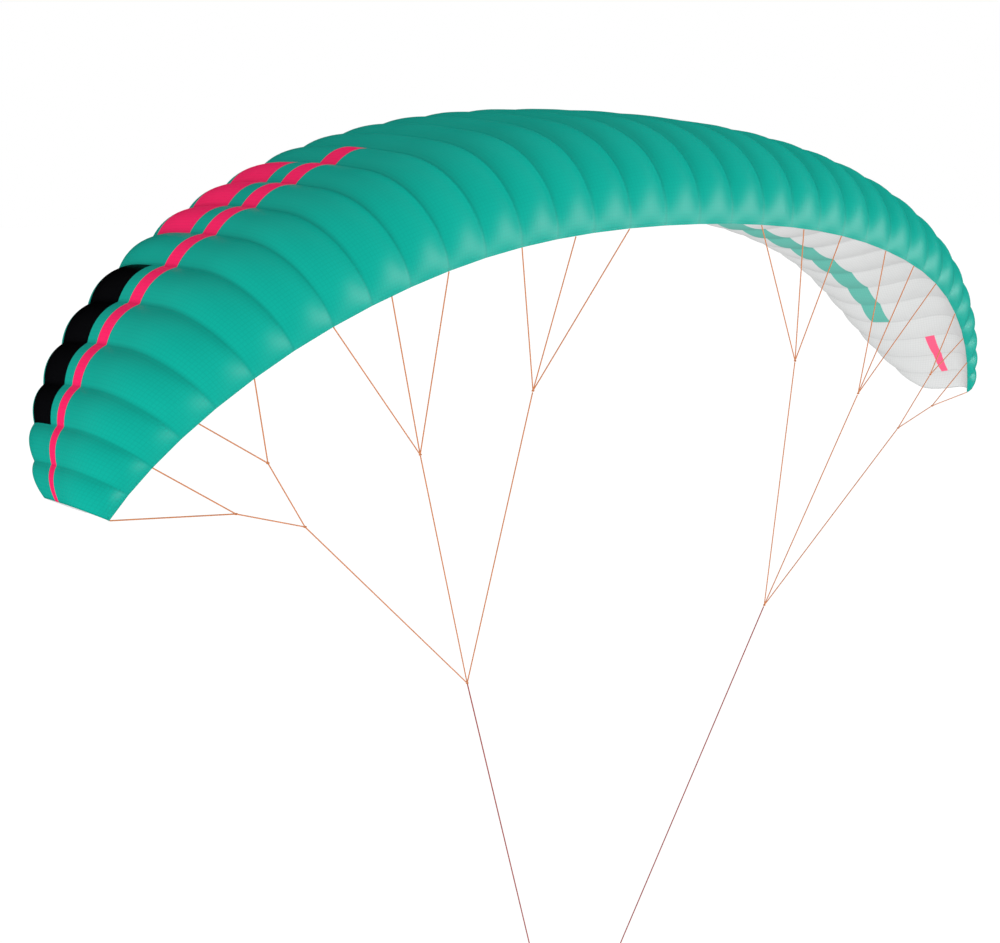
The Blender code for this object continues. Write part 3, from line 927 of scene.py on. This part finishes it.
def skin_lattice(name, columns, flip):
    rows = len(columns[0])
    mesh = bpy.data.meshes.new(name)
    faces = []
    for c in range(len(columns) - 1):
        for r in range(rows - 1):
            face = (c * rows + r, (c + 1) * rows + r, (c + 1) * rows + r + 1, c * rows + r + 1)
            faces.append(tuple(reversed(face)) if flip else face)
    flat = [item for column in columns for item in column]
    mesh.from_pydata([item[0] for item in flat], [], faces)
    for key, index in (("across", 2), ("grow", 3), ("width", 4)):
        mesh.attributes.new(key, "FLOAT", "POINT").data.foreach_set("value", [item[index] for item in flat])
    out = mesh.attributes.new("out", "FLOAT_VECTOR", "POINT")
    out.data.foreach_set("vector", [v for item in flat for v in item[1]])
    metres = []
    shares = []
    ahead = 0.0
    for c, column in enumerate(columns):
        if c:
            middle = rows // 2
            ahead += (column[middle][0] - columns[c - 1][middle][0]).length
        run = [0.0]
        for before, after in zip(column, column[1:]):
            run.append(run[-1] + (after[0] - before[0]).length)
        metres += [(ahead, v) for v in run]
        shares += [((column[0][5] + TIP) / (2 * TIP), v / run[-1]) for v in run]
    write_map(mesh, "cloth", metres)
    write_map(mesh, "panel", shares)
    return new_object(name, mesh)


print("lattice helpers ready")


# %% Blow the skins up and give them their thickness
PUCKER = 0.0015
PUCKER_PITCH = 0.05
PUCKER_SEED = 7.0


def skin_piece(name, stations, strips, flip, crown, material, node):
    columns = skin_columns(stations, strips)
    lattice = skin_lattice(name, columns, flip)
    piece = run_tree(lattice, AIR, {"Crown": crown, "Pucker": PUCKER, "Pucker pitch": PUCKER_PITCH,
                                    "Seed": PUCKER_SEED, "Material": material})
    for key in ("across", "grow", "width", "out"):
        piece.data.attributes.remove(piece.data.attributes[key])
    piece.data.shade_smooth()
    thick = piece.modifiers.new("cloth", "SOLIDIFY")
    thick.thickness = SHEET
    thick.offset = -1.0
    thick.use_even_offset = True
    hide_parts(node)
    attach(piece, "root")
    return piece


skin_piece("upper_panels", upper_stations, UPPER_STRIPS, False, UPPER_BILLOW, UPPER_CLOTH, "upper_skin")
skin_piece("lower_panels", lower_stations, LOWER_STRIPS, True, LOWER_BILLOW, LOWER_CLOTH, "lower_skin")

# %% [markdown]
# ## The ribs
# Every rib is a plate of stiffer cloth just inside the skins. It shows through the open slots
# under the nose. All of them are cut by one function from the same outline as the skins.

# %% The outline of a rib
RIB_STEPS = 40
RIB_END = 0.965           # a rib stops at this share of the chord, short of the hem
UNDER_NOSE = 0.35         # share of the way from the nose to the slot
SHARPEST = 0.5            # holds in the corners of an inset outline


def inset(outline, distance):
    moved = []
    count = len(outline)
    for i in range(count):
        a = Vector(outline[i - 1])
        b = Vector(outline[i])
        c = Vector(outline[(i + 1) % count])
        t1 = (b - a).normalized()
        t2 = (c - b).normalized()
        n1 = Vector((t1.y, -t1.x))
        n = (n1 + Vector((t2.y, -t2.x))).normalized()
        moved.append(b + n * (distance / max(n.dot(n1), SHARPEST)))
    return moved


def rib_outline(rib):
    top, low = rib.mouth()
    over = [(RIB_END * x, OVER) for x in eased(RIB_STEPS)]
    under = [(low + (RIB_END - low) * (1.0 - x), UNDER) for x in eased(RIB_STEPS)]
    nose = [(top * UNDER_NOSE, UNDER), (top, UNDER)]
    if rib.share < SHUT_TO:
        nose.append((0.5 * (top + low), UNDER))
    more = TIP_INSET * rib.share ** TIP_INSET_POWER if abs(rib.number) < TIP else 0.0
    return inset([rib.flat(x, way) for x, way in over + nose + under], RIB_INSET + more)


print("a rib's outline has", len(rib_outline(RIBS[0])), "points")

# %% Rib plates
ROW_APART = 0.8           # metres between the ribs' places in the cloth map


def rib_piece(name):
    points = []
    faces = []
    cloth = []
    for number in sorted(RIBS):
        rib = RIBS[number]
        outline = rib_outline(rib)
        count = len(outline)
        shift = -TIP_RIB_SHIFT if abs(number) == TIP else 0.0
        base = len(points)
        for half in (-0.5, 0.5):
            for u, v in outline:
                points.append(rib.lift(u, v) + rib.across * (half * SHEET + shift))
                cloth.append((u, v + ROW_APART * number))
        near = list(range(base, base + count))
        far = list(range(base + count, base + 2 * count))
        sheet_faces = [tuple(near), tuple(reversed(far))]
        sheet_faces += [(near[(i + 1) % count], near[i], far[i], far[(i + 1) % count]) for i in range(count)]
        faces += [tuple(reversed(f)) for f in sheet_faces] if rib.side > 0 else sheet_faces
    mesh = bpy.data.meshes.new(name)
    mesh.from_pydata(points, [], faces)
    write_map(mesh, "cloth", cloth)
    write_map(mesh, "panel", cloth)
    mesh.materials.append(RIB_CLOTH)
    return new_object(name, mesh)


ribs = rib_piece("rib_plates")
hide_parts(*[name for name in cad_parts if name.startswith("rib_")])
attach(ribs, "root")

# %% [markdown]
# ## Stitching along the hem
# The two skins meet at the trailing edge and are sewn through. A row of stitches follows the hem
# on each face. Geometry Nodes lays them: it walks the path at a fixed spacing and sets one short
# stitch on each point, turned along the path.

# %% The tree that sews
def stitch_tree():
    tree, start, end = new_tree("stitch_row", "GeometryNodeTree",
                                [("Geometry", "Geometry"), ("Spacing", "Float", 0.010),
                                 ("Stitch", "Float", 0.006), ("Thread", "Float", 0.0008),
                                 ("Material", "Material")],
                                [("Geometry", "Geometry")])
    walk = add_node(tree, "GeometryNodeCurveToPoints", {"Curve": start.outputs["Geometry"],
                                                        "Length": start.outputs["Spacing"]}, mode="LENGTH")
    size = add_node(tree, "ShaderNodeCombineXYZ", {"X": start.outputs["Thread"],
                                                   "Y": start.outputs["Thread"],
                                                   "Z": start.outputs["Stitch"]})
    stitch = add_node(tree, "GeometryNodeMeshCylinder", {"Vertices": 6, "Radius": 1.0, "Depth": 1.0})
    laid = add_node(tree, "GeometryNodeInstanceOnPoints", {"Points": walk.outputs["Points"],
                                                           "Instance": stitch.outputs["Mesh"],
                                                           "Rotation": walk.outputs["Rotation"],
                                                           "Scale": size.outputs[0]})
    give_material(tree, start, end, laid.outputs[0])
    return tree


STITCH = stitch_tree()
print("tree", STITCH.name)


# %% Rows of stitches on both faces of the hem
HEM_ROW = 0.994           # share of the chord at which the row runs
ROW_STEPS = 8             # points of the row in each cell
STITCH_SPACING = 0.012
STITCH_LENGTH = 0.008
THREAD_RADIUS = 0.0007
PROUD = 0.0001            # above the skin


def skin_place(number, q, x, over, billow):
    place, out, grow, width = flat_place(number, q, x, x, over)
    return place + out * (billow * width * grow * 4 * q * (1 - q) + PROUD)


for name, over, billow, slot in (("upper_hem_stitches", OVER, UPPER_BILLOW, "upper_skin"),
                                 ("lower_hem_stitches", UNDER, LOWER_BILLOW, "lower_skin")):
    row = [skin_place(number, k / ROW_STEPS, HEM_ROW, over, billow)
           for number in range(-TIP, TIP) for k in range(ROW_STEPS)]
    piece = run_tree(path_object(name, row), STITCH, {"Spacing": STITCH_SPACING, "Stitch": STITCH_LENGTH,
                                                      "Thread": THREAD_RADIUS, "Material": THREAD})
    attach(piece, "root")
    print(name, len(piece.data.polygons), "faces")

# %% [markdown]
# ## Floor and light
# The wing flies over a plain pale floor, which neither lights nor shades it. Soft light comes from
# all round. Two broad far lights shape it: one from the right and a little above, and one from the
# left and below, so that each cell is bright on its crown and darker towards its seams. A third
# light only adds the coating's shine.

# %% Floor
FLOOR_Z = cad_box[0][2] - 0.25
FLOOR_REACH = 200.0
FLOOR_GREY = (0.25, 0.25, 0.25, 1.0)
WHITE = (1.0, 1.0, 1.0, 1.0)
FLOOR_GLOW = 0.80         # lifts the floor to an even pale tone

corners = [(x * FLOOR_REACH, y * FLOOR_REACH, FLOOR_Z) for x, y in ((-1, -1), (1, -1), (1, 1), (-1, 1))]
floor_mesh = bpy.data.meshes.new("floor")
floor_mesh.from_pydata(corners, [], [(0, 1, 2, 3)])
floor = new_object("floor", floor_mesh)
pale, pale_tree, pale_shader = new_material("pale_floor")
set_inputs(pale_tree, pale_shader, {"Base Color": FLOOR_GREY, "Roughness": 0.9, "Specular IOR Level": 0.0,
                                    "Emission Color": WHITE, "Emission Strength": FLOOR_GLOW})
floor_mesh.materials.append(pale)
floor.visible_diffuse = False
floor.visible_glossy = False
floor.visible_shadow = False
print("floor at", round(FLOOR_Z, 2))


# %% Lights
LIGHT_SPREAD = 30.0       # degrees across each light
WORLD_LIGHT = 0.80        # soft light from all round


def soft_light(name, bearing, height, strength, glow=True, shine=True):
    """A far soft light: its bearing clockwise from +Y and its height, both in degrees."""
    data = bpy.data.lights.new(name, "SUN")
    data.energy = strength
    data.angle = math.radians(LIGHT_SPREAD)
    obj = new_object(name, data)
    turn = math.radians(bearing)
    rise = math.radians(height)
    way = Vector((math.sin(turn) * math.cos(rise), math.cos(turn) * math.cos(rise), math.sin(rise)))
    obj.rotation_euler = way.to_track_quat("Z", "Y").to_euler()
    obj.visible_diffuse = glow
    obj.visible_glossy = shine


soft_light("right key", 118.0, 20.0, 1.85, shine=False)
soft_light("left fill", -118.0, -25.0, 1.75, shine=False)
soft_light("shine", 135.0, -10.0, 4.4, glow=False)
world = bpy.data.worlds.new("white_studio")
world.use_nodes = True
world_tree = world.node_tree
seen = add_node(world_tree, "ShaderNodeLightPath").outputs["Is Camera Ray"]
strength = math_node(world_tree, "MULTIPLY_ADD", seen, 1.0 - WORLD_LIGHT, WORLD_LIGHT)
set_inputs(world_tree, world_tree.nodes["Background"], {"Color": WHITE, "Strength": strength})
bpy.context.scene.world = world
world.cycles_visibility.glossy = False
bpy.context.scene.view_settings.view_transform = "Standard"
print("lights set")
